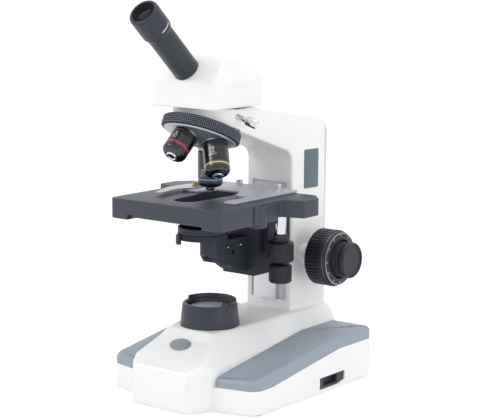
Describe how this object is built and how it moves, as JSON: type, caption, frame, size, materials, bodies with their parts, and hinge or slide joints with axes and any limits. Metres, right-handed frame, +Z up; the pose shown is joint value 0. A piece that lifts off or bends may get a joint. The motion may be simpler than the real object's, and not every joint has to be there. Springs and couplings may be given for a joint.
{
  "type": "compound microscope",
  "caption": "Monocular compound microscope with inclined eyepiece, tilted revolving nosepiece, mechanical stage, rack focus and lamp in the base",
  "frame": {"origin": "centre of the bounding box on the floor plane that the rubber feet rest on", "axes": "+Z up, -Y toward the user, +X to the user's right, where the stage drive and the switch are"},
  "size_m": [0.182, 0.2614, 0.3903],
  "materials": {
    "white_casting": "white powder coat on cast aluminium",
    "black_casting": "satin black enamel on cast aluminium",
    "black_plastic": "moulded black plastic, lightly grained",
    "slate_pad": "slate grey soft-touch moulding",
    "black_rubber": "moulded black rubber",
    "grey_plastic": "light grey moulded plastic",
    "badge_grey": "plain grey plate",
    "label_slate": "plain slate plate",
    "chrome": "bright nickel-chrome plate",
    "steel": "ground steel",
    "aluminium": "bead-blasted anodised aluminium",
    "brass": "machined brass",
    "glass": "coated optical glass",
    "band_red": "red ring",
    "band_yellow": "yellow ring",
    "band_blue": "blue ring"
  },
  "bodies": {
    "stand": {"base_housing": "white_casting", "base_plate": "black_plastic", "rubber_feet": "black_rubber", "base_screws": "steel", "pad_left": "slate_pad", "pad_right": "slate_pad", "front_badge": "badge_grey", "switch_frame": "black_plastic", "power_inlet": "black_plastic", "lamp_module": "aluminium", "lamp_lens": "glass", "lamp_collar": "black_plastic", "arm_casting": "white_casting", "side_label": "label_slate", "front_cover": "grey_plastic", "guide_rail": "steel", "shaft_bushes": "brass", "nosepiece_base": "aluminium"},
    "rocker": {"power_rocker": "black_plastic"},
    "head": {"head_housing": "white_casting", "head_flange": "black_casting", "head_prism": "glass", "eye_tube": "black_casting"},
    "lock_screw": {"head_lock_screw": "chrome"},
    "eyepiece": {"eyepiece_body": "black_plastic", "eyepiece_lenses": "glass"},
    "turret": {"nosepiece_turret": "aluminium", "nosepiece_grip": "black_rubber", "port_plug": "black_plastic", "objective_low": "black_casting", "objective_mid": "black_casting", "objective_high": "black_casting", "band_low": "band_red", "band_mid": "band_yellow", "band_high": "band_blue", "front_lenses": "glass"},
    "sprung_nose": {"objective_high_nose": "chrome"},
    "coarse_drive": {"coarse_shaft": "steel", "focus_pinion": "brass", "coarse_knob_right": "black_plastic", "coarse_knob_left": "black_plastic"},
    "fine_drive": {"fine_shaft": "steel", "fine_knob_right": "black_plastic", "fine_knob_left": "black_plastic"},
    "carriage": {"focus_carriage": "black_casting", "focus_rack": "steel", "condenser_arm": "black_casting", "carriage_screws": "steel", "condenser_housing": "black_casting", "condenser_lens": "glass", "stage_plate": "black_casting"},
    "disc": {"diaphragm_disc": "black_plastic"},
    "cross": {"cross_rail": "aluminium", "coax_sleeve": "chrome"},
    "y_knob": {"stage_y_knob": "black_plastic"},
    "x_knob": {"stage_x_knob": "black_plastic"},
    "holder": {"specimen_holder": "aluminium", "holder_screws": "chrome", "finger_pivot": "brass"},
    "finger": {"spring_finger": "steel"}
  },
  "joints": [
    {"name": "stage_focus", "type": "slide", "parent": "stand", "child": "carriage", "axis": [0, 0, 1], "range_m": [-0.016, 0.002]},
    {"name": "coarse_turn", "type": "hinge", "parent": "stand", "child": "coarse_drive", "pos_m": [0, 0.09654, 0.127], "axis": [1, 0, 0], "range_deg": [-17, 132]},
    {"name": "fine_turn", "type": "hinge", "parent": "stand", "child": "fine_drive", "pos_m": [0, 0.09654, 0.127], "axis": [1, 0, 0], "continuous": true},
    {"name": "head_turn", "type": "hinge", "parent": "stand", "child": "head", "pos_m": [0, -0.02196, 0.287], "axis": [0, 0, 1], "continuous": true},
    {"name": "lock_turn", "type": "hinge", "parent": "stand", "child": "lock_screw", "pos_m": [0.0365, -0.02596, 0.279], "axis": [0.9613, 0, -0.2756], "range_deg": [0, 360]},
    {"name": "eyepiece_turn", "type": "hinge", "parent": "head", "child": "eyepiece", "pos_m": [0, -0.09888, 0.35996], "axis": [0, -0.7431, 0.6691], "continuous": true},
    {"name": "nosepiece_turn", "type": "hinge", "parent": "stand", "child": "turret", "pos_m": [0, -0.02196, 0.2957], "axis": [0, -0.4067, -0.9135], "continuous": true},
    {"name": "nose_spring", "type": "slide", "parent": "turret", "child": "sprung_nose", "axis": [0, 0, 1], "range_m": [0, 0.0015], "stiffness_N_per_m": 400, "springref_m": -0.003},
    {"name": "rocker_tip", "type": "hinge", "parent": "stand", "child": "rocker", "pos_m": [0.087, 0.05954, 0.012], "axis": [0, 0, 1], "range_deg": [0, 10]},
    {"name": "disc_turn", "type": "hinge", "parent": "carriage", "child": "disc", "pos_m": [0, -0.03396, 0.16], "axis": [0, 0, 1], "continuous": true},
    {"name": "stage_y_slide", "type": "slide", "parent": "carriage", "child": "cross", "axis": [0, 1, 0], "range_m": [-0.014, 0.012]},
    {"name": "stage_y_turn", "type": "hinge", "parent": "cross", "child": "y_knob", "pos_m": [0.047, 0.03104, 0.14], "axis": [0, 0, 1], "range_deg": [-135, 116]},
    {"name": "holder_x_slide", "type": "slide", "parent": "cross", "child": "holder", "axis": [1, 0, 0], "range_m": [-0.02, 0.02]},
    {"name": "stage_x_turn", "type": "hinge", "parent": "cross", "child": "x_knob", "pos_m": [0.047, 0.03104, 0.118], "axis": [0, 0, 1], "range_deg": [-192, 192]},
    {"name": "finger_swing", "type": "hinge", "parent": "holder", "child": "finger", "pos_m": [-0.036, 0.00004, 0.202], "axis": [0, 0, -1], "range_deg": [0, 30], "stiffness_Nm_per_rad": 0.05, "springref_deg": -11.46}
  ],
  "couplings": [
    {"joint": "coarse_turn", "follows": "stage_focus", "rad_per_m": -142.86},
    {"joint": "stage_y_turn", "follows": "stage_y_slide", "rad_per_m": 166.67},
    {"joint": "stage_x_turn", "follows": "holder_x_slide", "rad_per_m": 166.67}
  ]
}
